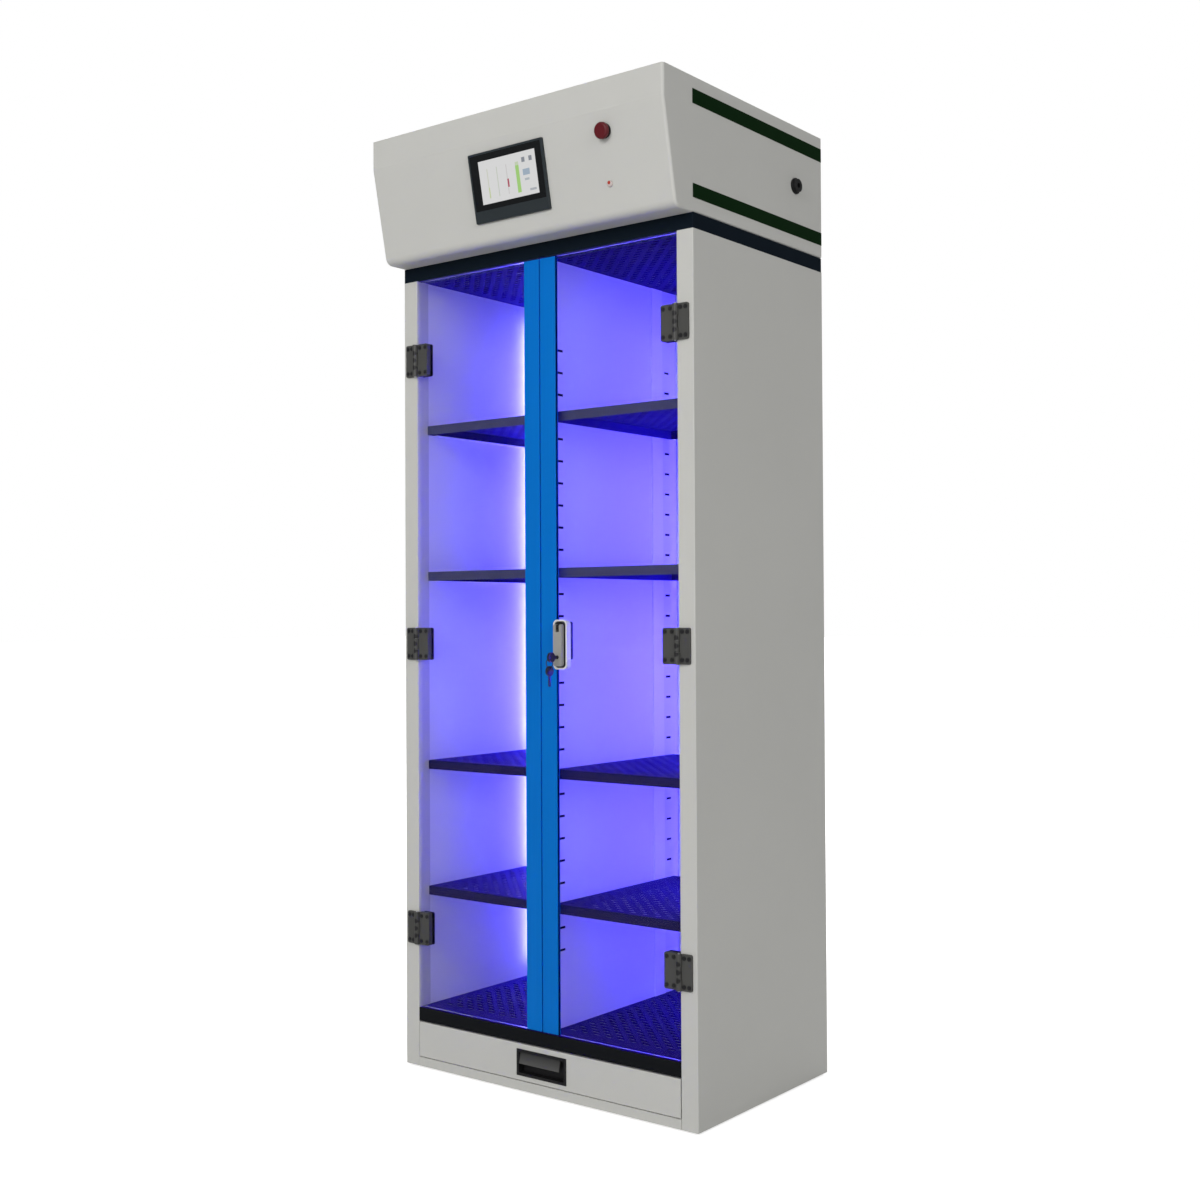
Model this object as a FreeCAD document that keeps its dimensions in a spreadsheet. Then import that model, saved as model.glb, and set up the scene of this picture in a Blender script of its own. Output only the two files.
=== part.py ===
import FreeCAD, Part
import math
import os
import re

from FreeCAD import Placement, Rotation, Vector

# A free-standing, two-compartment glazed cabinet with a filter and fan head, millimetres.
# +X is the cabinet's left-to-right as seen from the front, -Y is its front, +Z is up.
# The origin is on the floor, in the middle of the whole footprint, hood overhang included.

DEPTH = 500.0
OVERHANG = 98.0

# Driving dimensions. Left-hand pieces are drawn and the right-hand ones are their mirrors.
SIZES = {
    "half_width": 400.0,        # outer face of each side panel
    "front": (OVERHANG - DEPTH) / 2,
    "back": (OVERHANG + DEPTH) / 2,
    "hood_front": -(OVERHANG + DEPTH) / 2,
    "foot": 4.0,                # the carcass stands this far off the floor
    "sheet": 1.5,               # carcass sheet steel
    "thin": 1.2,                # shelves, tray and inner boxes
    "jamb": 40.0,               # width of each front jamb
    "jamb_return": 37.0,        # how far the jamb folds back beside the opening
    "liner_x": 361.5,           # inner face of the side liners
    "liner_back": 287.0,        # inner face of the rear liner
    "rail_top": 24.0,           # top of the bottom rail, below the drawer
    "sill_low": 106.0,
    "floor_top": 135.0,
    "ceiling": 1771.0,          # underside of the perforated ceiling
    "collar_top": 1802.0,
    "slant_top": 2008.0,        # where the hood's front starts to lean back
    "slant_run": 40.6,          # how far it leans back by the level of its underside
    "head_top": 2070.0,
    "hood_radius": 18.0,        # roll under the hood's front
    "bend": 6.0,                # soft vertical bends of the head
    "partition": 11.0,          # half the thickness of the hollow centre partition
    "slot_top": 1580.0,         # the highest shelf slot, and the pitch down from it
    "slot_pitch": 47.4,
    "ladder_front": -141.0,
    "ladder_rear": 249.0,
    "shelf_front": -168.0,
    "shelf_back": 262.0,
    "shelf_outer": 359.0,
    "shelf_inner": 14.0,
    "lip": 20.0,
    "door_low": 136.5,
    "door_high": 1769.0,
    "door_outer": 357.0,
    "seam": 1.5,                # half the gap between the two doors
    "stile": 43.0,
    "stile_face": -197.0,
    "stile_thick": 10.0,
    "glass_face": -195.0,
    "glass": 6.0,
    "pin_x": 360.0,
    "pin_y": -207.0,
    "pin_radius": 2.5,
    "knuckle": 5.5,
    "hinge_high": 72.0,
    "handle_x": 62.0,
    "handle_z": 990.0,          # level of the handle's spindle
    "key_z": 926.0,
    "drawer_low": 26.0,
    "drawer_high": 103.0,
    "drawer_side": 343.0,
    "pull_z": 64.0,
    "tube_x": 344.0,
    "tube_y": 273.0,
    "tube_low": 228.0,
    "tube_high": 1677.0,
    "filter_top": 1920.0,
    "fan_y": 50.0,
}
HINGE_LEVELS = (313.0, 951.0, 1590.0)
SHELF_SLOTS = (3, 10, 19, 25)
SLOT_COUNT = 28
X = Vector(1, 0, 0)
Y = Vector(0, 1, 0)
Z = Vector(0, 0, 1)

doc = FreeCAD.newDocument("cabinet")
sheet = doc.addObject("Spreadsheet::Sheet", "sizes")
for row, (alias, number) in enumerate(SIZES.items(), start=1):
    sheet.set(f"A{row}", alias)
    sheet.set(f"B{row}", str(number))
    sheet.setAlias(f"B{row}", alias)
doc.recompute()
nodes = []


def size(alias):
    """The value of one driving dimension, read from the sheet."""
    return float(sheet.get(alias))


def linked(text):
    """An expression in which every sheet alias carries the sheet's name."""
    return re.sub(r"[a-z_]+", lambda word: "sizes." + word[0] if word[0] in SIZES else word[0], str(text))


def keep(piece, label):
    """Name a finished sub-part and put it on the list of files to write."""
    piece.Label = label
    nodes.append(piece)
    return piece


def slab(x, y, z):
    """A block between a low and a high expression along each axis."""
    block = doc.addObject("Part::Box", "slab")
    for axis, side, (low, high) in zip("xyz", ("Length", "Width", "Height"), (x, y, z)):
        block.setExpression(side, linked(f"({high}) - ({low})"))
        block.setExpression(f"Placement.Base.{axis}", linked(low))
    return block


def rod(radius, length, at, along=Z):
    """A cylinder that starts at a point and runs along an axis."""
    solid = doc.addObject("Part::Cylinder", "rod")
    solid.Placement = Placement(Vector(), Rotation(Z, along))
    solid.setExpression("Radius", linked(radius))
    solid.setExpression("Height", linked(length))
    for axis, expression in zip("xyz", at):
        solid.setExpression(f"Placement.Base.{axis}", linked(expression))
    return solid


def fuse(*pieces):
    """Several touching pieces as one solid."""
    joined = doc.addObject("Part::MultiFuse", "fuse")
    joined.Shapes = list(pieces)
    joined.Refine = True
    return joined


def cut(base, *tools):
    """A piece with other shapes taken out of it."""
    result = doc.addObject("Part::Cut", "cut")
    result.Base = base
    result.Tool = tools[0] if len(tools) == 1 else fuse(*tools)
    result.Refine = True
    return result


def group(*pieces):
    """Separate solids that share one node."""
    bundle = doc.addObject("Part::Compound", "group")
    bundle.Links = list(pieces)
    return bundle


def mirror(source):
    """The same piece on the other side of the cabinet's middle plane."""
    twin = doc.addObject("Part::Mirroring", "mirror")
    twin.Source = source
    twin.Normal = X
    return twin


def shaped(shape):
    """A sub-part whose shape was worked out from the sheet by this file."""
    feature = doc.addObject("Part::Feature", "shaped")
    feature.Shape = shape
    return feature


def rounded(base, radius, picks):
    """A fillet on the edges that a test picks out."""
    doc.recompute()
    fillet = doc.addObject("Part::Fillet", "rounded")
    fillet.Base = base
    fillet.Edges = [(i, radius, radius) for i, edge in enumerate(base.Shape.Edges, start=1) if picks(edge)]
    return fillet


def upright_at(*corners):
    """A test for vertical edges that stand at one of the given (x, y) corners."""
    def picks(edge):
        box = edge.BoundBox
        if box.XLength > 0.01 or box.YLength > 0.01 or box.ZLength < 5:
            return False
        return any(abs(box.XMin - x) < 0.05 and abs(box.YMin - y) < 0.05 for x, y in corners)
    return picks


def tilted(shape):
    """Put a shape drawn flat (X across, Y up the slope, Z outward) on the hood's leaning face."""
    lean = math.degrees(math.atan2(size("slant_run"), size("slant_top") - size("collar_top")))
    foot = Vector(0, size("hood_front"), size("slant_top"))
    piece = shaped(shape)
    piece.Placement = Placement(foot, Rotation(X, 90 + lean))
    return piece


def flat_box(x, y, z):
    """A plain block between low and high numbers on each axis."""
    corner = Vector(x[0], y[0], z[0])
    return Part.makeBox(x[1] - x[0], y[1] - y[0], z[1] - z[0], corner)


def perforated(x, y, z, margin=22.0):
    """A deck between two corners with staggered rows of short slots, as one extruded face."""
    long_side, short_side = 18.0, 6.0
    pitch_x, pitch_y = 32.0, 16.0
    dx, dy = long_side / 2, short_side / 2
    holes = []
    rows = int((y[1] - y[0] - 2 * margin) / pitch_y)
    columns = int((x[1] - x[0] - 2 * margin) / pitch_x)
    first_x = (x[0] + x[1] - columns * pitch_x) / 2
    first_y = (y[0] + y[1] - rows * pitch_y) / 2
    for row in range(rows + 1):
        offset = pitch_x / 2 if row % 2 else 0.0
        for column in range(columns + 1 - row % 2):
            middle = Vector(first_x + offset + column * pitch_x, first_y + row * pitch_y, z[0])
            corners = [middle + Vector(*xy) for xy in ((-dx, -dy), (dx, -dy), (dx, dy), (-dx, dy))]
            holes.append(Part.makePolygon(corners + corners[:1]))
    outline = [Vector(*xy, z[0]) for xy in ((x[0], y[0]), (x[1], y[0]), (x[1], y[1]), (x[0], y[1]))]
    face = Part.makeFace([Part.makePolygon(outline + outline[:1])] + holes, "Part::FaceMakerBullseye")
    return face.extrude(Vector(0, 0, z[1] - z[0]))


# ---------------------------------------------------------------- carcass

def side_panels():
    """Each side is one sheet: outer skin, front jamb, its return, and a flange at the back."""
    tall = ("foot", "ceiling")
    outer = "-half_width"
    skin = slab((outer, f"{outer} + sheet"), ("front", "back"), tall)
    jamb = slab((outer, f"{outer} + jamb"), ("front", "front + sheet"), tall)
    inner = slab((f"{outer} + jamb - sheet", f"{outer} + jamb"), ("front", "front + jamb_return"), tall)
    flange = slab((outer, f"{outer} + 25"), ("back - 5", "back - 5 + sheet"), tall)
    corners = [(x, size("front")) for x in (-size("half_width"), size("jamb") - size("half_width"))]
    bends = upright_at(*corners)
    left = keep(rounded(fuse(skin, jamb, inner, flange), 1.4, bends), "side_panel_left")
    keep(mirror(left), "side_panel_right")


def side_liners():
    """Inner walls of the two compartments, each tucked behind the jamb's return."""
    tall = ("floor_top", "ceiling")
    deep = ("front + 12", "liner_back")
    folded = ("-liner_x - 14", "-liner_x")
    wall = slab(("-liner_x - sheet", "-liner_x"), deep, tall)
    top = slab(folded, deep, ("ceiling - sheet", "ceiling"))
    tail = slab(folded, ("liner_back - sheet", "liner_back"), tall)
    plain = fuse(wall, top, tail)
    keep(mirror(plain), "side_liner_right")
    plug = rod(4, 3.5, ("-liner_x - sheet", 137, "ceiling - 21"), X)
    keep(fuse(plain, plug), "side_liner_left")


def backs():
    """The plain outer back, and the inner wall that the lamps stand against."""
    skin = slab(("-half_width + 2", "half_width - 2"), ("back - 3.5", "back - 2"), ("foot", "ceiling"))
    keep(skin, "rear_panel")
    wide = ("-liner_x - 14", "liner_x + 14")
    keep(slab(wide, ("liner_back", "liner_back + sheet"), ("floor_top", "ceiling")), "rear_liner")


def base():
    """A pressed pan closes the bottom; its front edge is the rail below the drawer.

    Slots let the jambs' returns through it, and holes the studs of the feet.
    """
    wide = ("-half_width + 2", "half_width - 2")
    between_jambs = ("-half_width + jamb + 0.5", "half_width - jamb - 0.5")
    pan = slab(wide, ("front + sheet", "back - 6"), ("foot", "foot + sheet"))
    rail = slab(between_jambs, ("front", "front + sheet"), ("foot", "rail_top"))
    hem = slab(between_jambs, ("front", "front + 16"), ("rail_top - sheet", "rail_top"))
    upstand = slab(wide, ("back - 7.5", "back - 6"), ("foot", "foot + 25"))
    through = ("foot - 1", "foot + sheet + 1")
    fold = ("-half_width + jamb - sheet", "-half_width + jamb")
    slot = slab(fold, ("front", "front + jamb_return"), through)
    openings = [slot, mirror(slot)]
    feet = []
    for x in (-340, 340):
        for y in ("front + 60", "back - 60"):
            openings.append(rod(5.5, "sheet + 2", (x, y, "foot - 1")))
            pad = rod(24, "foot", (x, y, 0))
            nut = rod(9, 7, (x, y, "foot + sheet"))
            feet.append(fuse(pad, rod(5, 26, (x, y, 2)), nut))
    keep(cut(fuse(pan, rail, hem, upstand), *openings), "base_pan")
    keep(group(*feet), "levelling_feet")


def decks():
    """The perforated floor with its black front sill, and the perforated ceiling.

    Each has one field of slots over either compartment, with a plain strip above the partition.
    """
    outer = size("liner_x") - 0.5
    wall = size("sheet")
    deep = (size("front") + size("jamb_return") + 1, size("liner_back") - 0.5)
    high = size("floor_top")
    fields = [perforated(x, deep, (high - wall, high)) for x in ((-outer, 0), (0, outer))]
    rear = flat_box((-outer, outer), (deep[1] - wall, deep[1]), (high - 25, high - wall))
    mouth = size("half_width") - size("jamb") - 0.5
    across = (-mouth, mouth)
    front = size("front")
    foot = size("sill_low")
    ledge = flat_box(across, (front, deep[0]), (high - wall, high))
    sill = flat_box(across, (front, front + wall), (foot, high - wall))
    hem = flat_box(across, (front, front + 16), (foot, foot + wall))
    keep(shaped(fields[0].multiFuse([fields[1], rear, ledge, sill, hem])), "floor_panel")

    low = size("ceiling")
    deep = (front + 3, deep[1])
    fields = [perforated(x, deep, (low, low + wall)) for x in ((-outer, 0), (0, outer))]
    tall = (low + wall, low + 22)
    rim = flat_box((-outer, outer), deep, tall)
    well = flat_box((wall - outer, outer - wall), (deep[0] + wall, deep[1] - wall), tall)
    keep(shaped(fields[0].multiFuse([fields[1], rim.cut(well)])), "ceiling_panel")


def partition():
    """A flat hollow upright between the compartments, with two ladders of shelf slots."""
    tall = ("floor_top", "ceiling")
    deep = ("front + 44", "liner_back - 1")
    skin = slab(("-partition", "partition"), deep, tall)
    inside = ("front + 44 + thin", "liner_back - 1 - thin")
    hollow = slab(("-partition + thin", "partition - thin"), inside, tall)
    body = doc.addObject("PartDesign::Body", "slots")
    planes = {plane.Role: plane for plane in body.Origin.OriginFeatures}
    sketch = body.newObject("Sketcher::SketchObject", "slot_outline")
    sketch.AttachmentSupport = [(planes["YZ_Plane"], "")]
    sketch.MapMode = "FlatFace"
    for ladder in ("ladder_front", "ladder_rear"):
        add_slot_outline(sketch, size(ladder), size("slot_top"), 18.0, 5.0)
    pad = body.newObject("PartDesign::Pad", "slot_pad")
    pad.Profile = sketch
    pad.Midplane = True
    pad.setExpression("Length", linked("2 * partition + 10"))
    doc.recompute()
    ladder = body.newObject("PartDesign::LinearPattern", "ladder")
    ladder.Originals = [pad]
    ladder.Direction = (sketch, ["V_Axis"])
    ladder.Reversed = True
    ladder.setExpression("Length", linked(f"slot_pitch * {SLOT_COUNT - 1}"))
    ladder.Occurrences = SLOT_COUNT
    body.Tip = ladder
    keep(cut(skin, hollow, body), "centre_partition")
    cover = slab(("partition", "partition + 2"), ("liner_back - 98", "liner_back - 57"), tall)
    keep(cover, "wiring_cover")


def add_slot_outline(sketch, middle_y, middle_z, length, height):
    """A rectangle on a sketch in the YZ plane."""
    corners = []
    for across, up in ((-1, -1), (1, -1), (1, 1), (-1, 1)):
        corners.append(Vector(middle_y + across * length / 2, middle_z + up * height / 2, 0))
    for start, end in zip(corners, corners[1:] + corners[:1]):
        sketch.addGeometry(Part.LineSegment(start, end), False)


def collar():
    """The black band between the carcass and the head: four folded bars, welded at the corners."""
    tall = ("ceiling", "collar_top")
    wall = 2.0
    outside = slab(("-half_width", "half_width"), ("front", "back - 2"), tall)
    inside = slab((f"-half_width + {wall}", f"half_width - {wall}"), (f"front + {wall}", "back - 4"),
                  ("ceiling - 1", "collar_top + 1"))
    band = cut(outside, inside)
    bars = []
    for low, high in (("-half_width + 2", "-liner_x + 0.5"), ("liner_x - 0.5", "half_width - 2")):
        bars.append(slab((low, high), ("front + 2", "back - 4"), ("ceiling", "ceiling + 2")))
    corners = [(x, size("front")) for x in (-size("half_width"), size("half_width"))]
    keep(rounded(fuse(band, *bars), 1.9, upright_at(*corners)), "top_collar")


def shelves():
    """Perforated trays with turned-down lips; two hooks on the inner side enter the slots."""
    across = (-size("shelf_outer"), -size("shelf_inner"))
    deep = (size("shelf_front"), size("shelf_back"))
    thin = size("thin")
    lip = size("lip")
    drop = 7.5
    tray = perforated(across, deep, (drop - thin, drop))
    turned = (drop - lip, drop - thin)
    rim = flat_box(across, deep, turned)
    well = flat_box((across[0] + thin, across[1] - thin), (deep[0] + thin, deep[1] - thin), turned)
    pieces = [rim.cut(well)]
    for ladder in ("ladder_front", "ladder_rear"):
        hook = (size(ladder) - 7, size(ladder) + 7)
        pieces.append(flat_box((across[1], across[1] + 7), hook, (-1.5, 1.5)))
    left = tray.multiFuse(pieces)
    right = left.mirror(Vector(), X)
    cleats = []
    for number, slot in enumerate(SHELF_SLOTS, start=1):
        level = size("slot_top") - slot * size("slot_pitch")
        for side, shape in (("left", left), ("right", right)):
            shelf = shaped(shape)
            shelf.Placement = Placement(Vector(0, 0, level), Rotation())
            keep(shelf, f"shelf_{side}_{number}")
        under = level + drop - lip
        leg = slab(("-liner_x", "-liner_x + sheet"), (-150, 240), (under - 1.5, under + 14))
        ledge = slab(("-liner_x", "-liner_x + 15"), (-150, 240), (under - 1.5, under))
        cleat = fuse(leg, ledge)
        cleats += [cleat, mirror(cleat)]
    keep(group(*cleats), "shelf_cleats")


def lamps():
    """One slim germicidal tube in each rear outer corner, in a pair of pin sockets."""
    tubes = []
    holders = []
    for sign in ("-", ""):
        x = f"{sign}tube_x"
        glass = rod(7.6, "tube_high - tube_low - 24", (x, "tube_y", "tube_low + 12"))
        caps = [rod(8, 12.5, (x, "tube_y", level)) for level in ("tube_low", "tube_high - 12.5")]
        tubes.append(fuse(glass, *caps))
        for low, high in (("tube_low - 22", "tube_low"), ("tube_high", "tube_high + 22")):
            foot = slab((f"{x} - 11", f"{x} + 11"), ("tube_y - 11", "liner_back"), (low, high))
            holders.append(rounded(foot, 3, lambda edge: edge.BoundBox.YMax < size("tube_y")))
    keep(group(*tubes), "uv_tubes")
    keep(group(*holders), "lamp_holders")


# ---------------------------------------------------------------- doors

def screw_heads(centres, face):
    """Low pan heads that stand on a plane facing the front."""
    return [rod(4, 1.4, (x, face, z), Vector(0, -1, 0)) for x, z in centres]


def outer_corners(x):
    """A test for a hinge plate's two short edges at its end away from the pin."""
    def picks(edge):
        box = edge.BoundBox
        return abs(box.XMin - x) < 0.05 and box.YLength > 1 and box.ZLength < 1
    return picks


def hinges():
    """Three lift-off pairs on each side: jamb leaf above and below, door leaf between."""
    frame_leaves = []
    door_leaves = []
    pins = []
    third = "hinge_high / 3"
    for level in HINGE_LEVELS:
        low = f"{level} - hinge_high / 2"
        whole = (low, f"{level} + hinge_high / 2")
        plate = slab(("-pin_x - 30", "-pin_x - 6"), ("front - 5", "front"), whole)
        plate = rounded(plate, 4, outer_corners(-size("pin_x") - 30))
        knuckles = []
        for start in (low, f"{level} + hinge_high / 6"):
            rise = (start, f"{start} + {third} - 0.3")
            web = slab(("-pin_x - 7", "-pin_x"), ("pin_y - 2", "pin_y + 2"), rise)
            barrel = rod("knuckle", f"{third} - 0.3", ("-pin_x", "pin_y", start))
            knuckles.append(fuse(web, barrel))
        bore = rod("pin_radius", "hinge_high + 2", ("-pin_x", "pin_y", f"{low} - 1"))
        leaf = cut(fuse(plate, *knuckles), bore)
        corners = [(f"-pin_x - {x}", f"{level} + {z}") for x in (24, 12) for z in (-28, 28)]
        frame_leaves += [leaf] + screw_heads(corners, "front - 5")

        plate_wide = ("-pin_x + 6.5", "-pin_x + 36")
        front_plate = slab(plate_wide, ("front - 5", "glass_face"), whole)
        front_plate = rounded(front_plate, 4, outer_corners(36 - size("pin_x")))
        middle = (f"{level} - hinge_high / 6", f"{level} + hinge_high / 6 - 0.3")
        arm = slab(("-pin_x", "-pin_x + 7"), ("pin_y - 2", "pin_y + 2"), middle)
        barrel = rod("knuckle", f"{third} - 0.3", ("-pin_x", "pin_y", middle[0]))
        door_bore = rod("pin_radius + 0.05", "hinge_high + 2", ("-pin_x", "pin_y", f"{low} - 1"))
        door_leaf = cut(fuse(front_plate, arm, barrel), door_bore)
        clamp = slab(plate_wide, ("glass_face + glass", "glass_face + glass + 3"), whole)
        clamp = rounded(clamp, 4, outer_corners(36 - size("pin_x")))
        corners = [(f"-pin_x + {x}", f"{level} + {z}") for x in (13, 30) for z in (-28, 28)]
        door_leaves += [door_leaf, clamp] + screw_heads(corners, "front - 5")
        pins.append(rod("pin_radius", "hinge_high + 3", ("-pin_x", "pin_y", f"{low} - 1.5")))
    left_frame = group(*frame_leaves)
    keep(group(left_frame, mirror(left_frame)), "hinge_leaves_frame")
    left_pins = group(*pins)
    keep(group(left_pins, mirror(left_pins)), "hinge_pins")
    left_leaves = keep(group(*door_leaves), "left_door_hinges")
    keep(mirror(left_leaves), "right_door_hinges")


def door_panels():
    """Each door is a clear pane whose free edge is held in a channel-section stile."""
    tall = ("door_low", "door_high")
    pane = slab(("-door_outer", "-seam - 4"), ("glass_face", "glass_face + glass"), tall)
    keep(pane, "left_door_glass")
    hole = rod(8, "glass + 4", ("handle_x", "glass_face - 2", "handle_z"), Y)
    keep(cut(mirror(pane), hole), "right_door_glass")
    bar = slab(("-stile", "-seam"), ("stile_face", "stile_face + stile_thick"), tall)
    groove = slab(("-stile - 1", "-seam - 4"), ("glass_face", "glass_face + glass"), tall)
    corners = [(-size(alias), size("stile_face")) for alias in ("stile", "seam")]
    left = keep(rounded(cut(bar, groove), 1.2, upright_at(*corners)), "left_door_stile")
    keep(mirror(left), "right_door_stile")


def handle():
    """A swing handle: dished plate with a cup behind the glass, spindle, forked lever, cam and keys."""
    x, z = size("handle_x"), size("handle_z")
    wall = size("glass_face")
    low, high = 900.0, 1004.0
    half = 18.5
    plate = flat_box((x - half, x + half), (wall - 10, wall), (low, high))
    rim = flat_box((x - half, x + half), (wall - 13, wall - 10), (low, high))
    well = flat_box((x - half + 3.5, x + half - 3.5), (wall - 14, wall - 10), (low + 3.5, high - 3.5))
    body = plate.fuse(rim).removeSplitter()
    corners = [edge for edge in body.Edges if edge.BoundBox.YLength > 12]
    body = body.makeFillet(11, corners)
    inner = [edge for edge in well.Edges if edge.BoundBox.YLength > 3]
    body = body.cut(well.makeFillet(8, inner))
    behind = wall + size("glass")
    cup = flat_box((x - 16.5, x + 16.5), (behind, behind + 6), (z - 70, z + 10))
    cup = cup.makeFillet(5, [edge for edge in cup.Edges if edge.BoundBox.YLength > 5])
    bore = Part.makeCylinder(6.05, 30, Vector(x, wall - 15, z), Y)
    keep(shaped(Part.Compound([body.cut(bore), cup.cut(bore)])), "handle_plate")

    disc = Part.makeCylinder(10, 2.5, Vector(x, wall - 12.8, z), Y)
    stem = Part.makeCylinder(6, 28, Vector(x, wall - 13, z), Y)
    tongue = flat_box((x - 4, x + 4), (wall - 20.5, wall - 12), (z - 7, z + 3.5))
    eye = Part.makeCylinder(1.55, 20, Vector(x - 10, wall - 17.75, z), X)
    keep(shaped(disc.multiFuse([stem, tongue]).cut(eye).removeSplitter()), "handle_spindle")

    back, face = wall - 13.5, wall - 22.0
    middle = (back + face) / 2
    bar = flat_box((x - 11, x + 11), (face, back), (low + 7, z))
    end = Part.makeCylinder((back - face) / 2, 22, Vector(x - 11, middle, z), X)
    lever = bar.fuse(end).removeSplitter()
    lever = lever.cut(flat_box((x - 4.5, x + 4.5), (face - 1, back + 1), (z - 12, z + 10)))
    rounds = [edge for edge in lever.Edges if edge.BoundBox.YLength > 5 and edge.BoundBox.ZMax < low + 8]
    lever = lever.makeFillet(6, rounds)
    key_z = size("key_z")
    lever = lever.cut(Part.makeCylinder(4.05, 8, Vector(x, face, key_z), Y))
    pin = Part.makeCylinder(1.5, 22, Vector(x - 11, middle, z), X)
    lever = lever.cut(pin)
    keep(shaped(Part.Compound([lever, pin])), "handle_lever")

    cam_face = behind + 6.5
    arm = flat_box((x - 9, x + 9), (cam_face, cam_face + 3), (z - 75, z))
    boss = Part.makeCylinder(11, 3, Vector(x, cam_face, z), Y)
    hub = Part.makeCylinder(6, 10, Vector(x, cam_face - 3, z), Y)
    keep(shaped(arm.fuse(boss).cut(hub).removeSplitter()), "lock_cam")

    plug = Part.makeCylinder(4, 7, Vector(x, face + 0.2, key_z), Y)
    blade = flat_box((x - 1, x + 1), (face - 14, face + 1), (key_z - 3.5, key_z + 3.5))
    bow_y = face - 20
    bow = Part.makeCylinder(10.5, 5, Vector(x - 2.5, bow_y, key_z), X)
    hole = Part.makeCylinder(2.5, 20, Vector(x - 10, bow_y - 5, key_z - 3), X)
    first = plug.multiFuse([blade, bow]).cut(hole).removeSplitter()
    ring = Part.makeTorus(9, 0.9, Vector(x, bow_y - 5, key_z - 12), Y)
    spare_z = key_z - 28
    spare = Part.makeCylinder(10.5, 5, Vector(x - 2.5, bow_y - 5, spare_z), X)
    spare = spare.fuse(flat_box((x - 1, x + 1), (bow_y - 8.5, bow_y - 1.5), (spare_z - 32, spare_z - 5)))
    eyelet = Part.makeCylinder(2.5, 20, Vector(x - 10, bow_y - 5, spare_z + 6.5), X)
    spare = spare.cut(eyelet).removeSplitter()
    keep(shaped(Part.Compound([first, ring, spare])), "lock_key")


# ---------------------------------------------------------------- drawer

def drawer():
    """A full-width drawer on telescopic slides, with a black recessed pull in its front.

    The tray is a floor sheet and four wall sheets, spot welded where they meet.
    """
    half = "(half_width - jamb - 1.5)"
    tall = ("drawer_low", "drawer_high")
    face = slab((f"-{half}", half), ("front", "front + sheet"), tall)
    folds = [slab((f"-{half}", half), ("front", "front + 18"), (low, f"{low} + sheet"))
             for low in ("drawer_low", "drawer_high - sheet")]
    window = slab((-65, 65), ("front - 1", "front + 3"), ("pull_z - 25", "pull_z + 25"))
    keep(cut(fuse(face, *folds), window), "drawer_front")

    deep = ("front + 18", "back - 49")
    under = "drawer_low + 4"
    floor = slab(("-drawer_side", "drawer_side"), deep, (under, f"{under} + thin"))
    rise = (f"{under} + thin", "drawer_high - 8")
    side = slab(("-drawer_side", "-drawer_side + thin"), deep, rise)
    ends = [slab(("-drawer_side + thin", "drawer_side - thin"), (y, f"{y} + thin"), rise)
            for y in ("front + 18", "back - 49 - thin")]
    keep(group(floor, side, mirror(side), *ends), "drawer_tray")

    flange = slab((-68, 68), ("front - 1.5", "front"), ("pull_z - 28", "pull_z + 28"))
    cup = slab((-64.5, 64.5), ("front - 1.5", "front + 17.5"), ("pull_z - 24.5", "pull_z + 24.5"))
    well = slab((-62, 62), ("front - 3", "front + 15.5"), ("pull_z - 22", "pull_z + 22"))
    shell = cut(fuse(flange, cup), well)
    profile = [(4, 22), (-1.2, -3), (0.9, -3.5), (7, 22)]
    points = [Vector(-62, size("front") + y, size("pull_z") + z) for y, z in profile]
    grip = Part.Face(Part.makePolygon(points + points[:1])).extrude(Vector(110, 0, 0))
    keep(fuse(shell, shaped(grip)), "drawer_pull")

    deep = ("front + 22", "back - 60")
    moving = slab(("-drawer_side - 7", "-drawer_side"), deep, (58, 72))
    keep(group(moving, mirror(moving)), "drawer_slides")
    deep = ("front + 20", "back - 50")
    web = slab(("-drawer_side - 12", "-drawer_side - 10.5"), deep, ("foot + sheet", 76))
    ledges = [slab(("-drawer_side - 12", "-drawer_side - 2.5"), deep, z)
              for z in ((54, 55.5), (74.5, 76))]
    behind_jamb = ("front + jamb_return + 1", "back - 50")
    flat = ("foot + sheet", "foot + 2 * sheet")
    foot = slab(("-drawer_side - 40", "-drawer_side - 10.5"), behind_jamb, flat)
    rail = fuse(web, foot, *ledges)
    keep(group(rail, mirror(rail)), "drawer_rails")


# ---------------------------------------------------------------- head

def hood_profile(inset):
    """The side outline of the hood's front, moved inward by a wall thickness."""
    lean = math.atan2(size("slant_run"), size("slant_top") - size("collar_top"))
    face = size("hood_front") + inset
    under = size("collar_top") + inset
    knee = size("slant_top") - inset * math.tan(lean / 2)
    toe_y = face + (knee - under) * math.tan(lean)
    turn = math.pi / 2 - lean
    reach = (size("hood_radius") - inset) * math.tan(turn / 2)
    start = Vector(0, toe_y - reach * math.sin(lean), under + reach * math.cos(lean))
    end = Vector(0, toe_y + reach, under)
    centre = Vector(0, toe_y + reach, under + size("hood_radius") - inset)
    half_way = Vector(0, -math.sin(math.pi / 4 + lean / 2), -math.cos(math.pi / 4 + lean / 2))
    middle = centre + half_way * (size("hood_radius") - inset)
    return face, under, knee, start, middle, end


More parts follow.
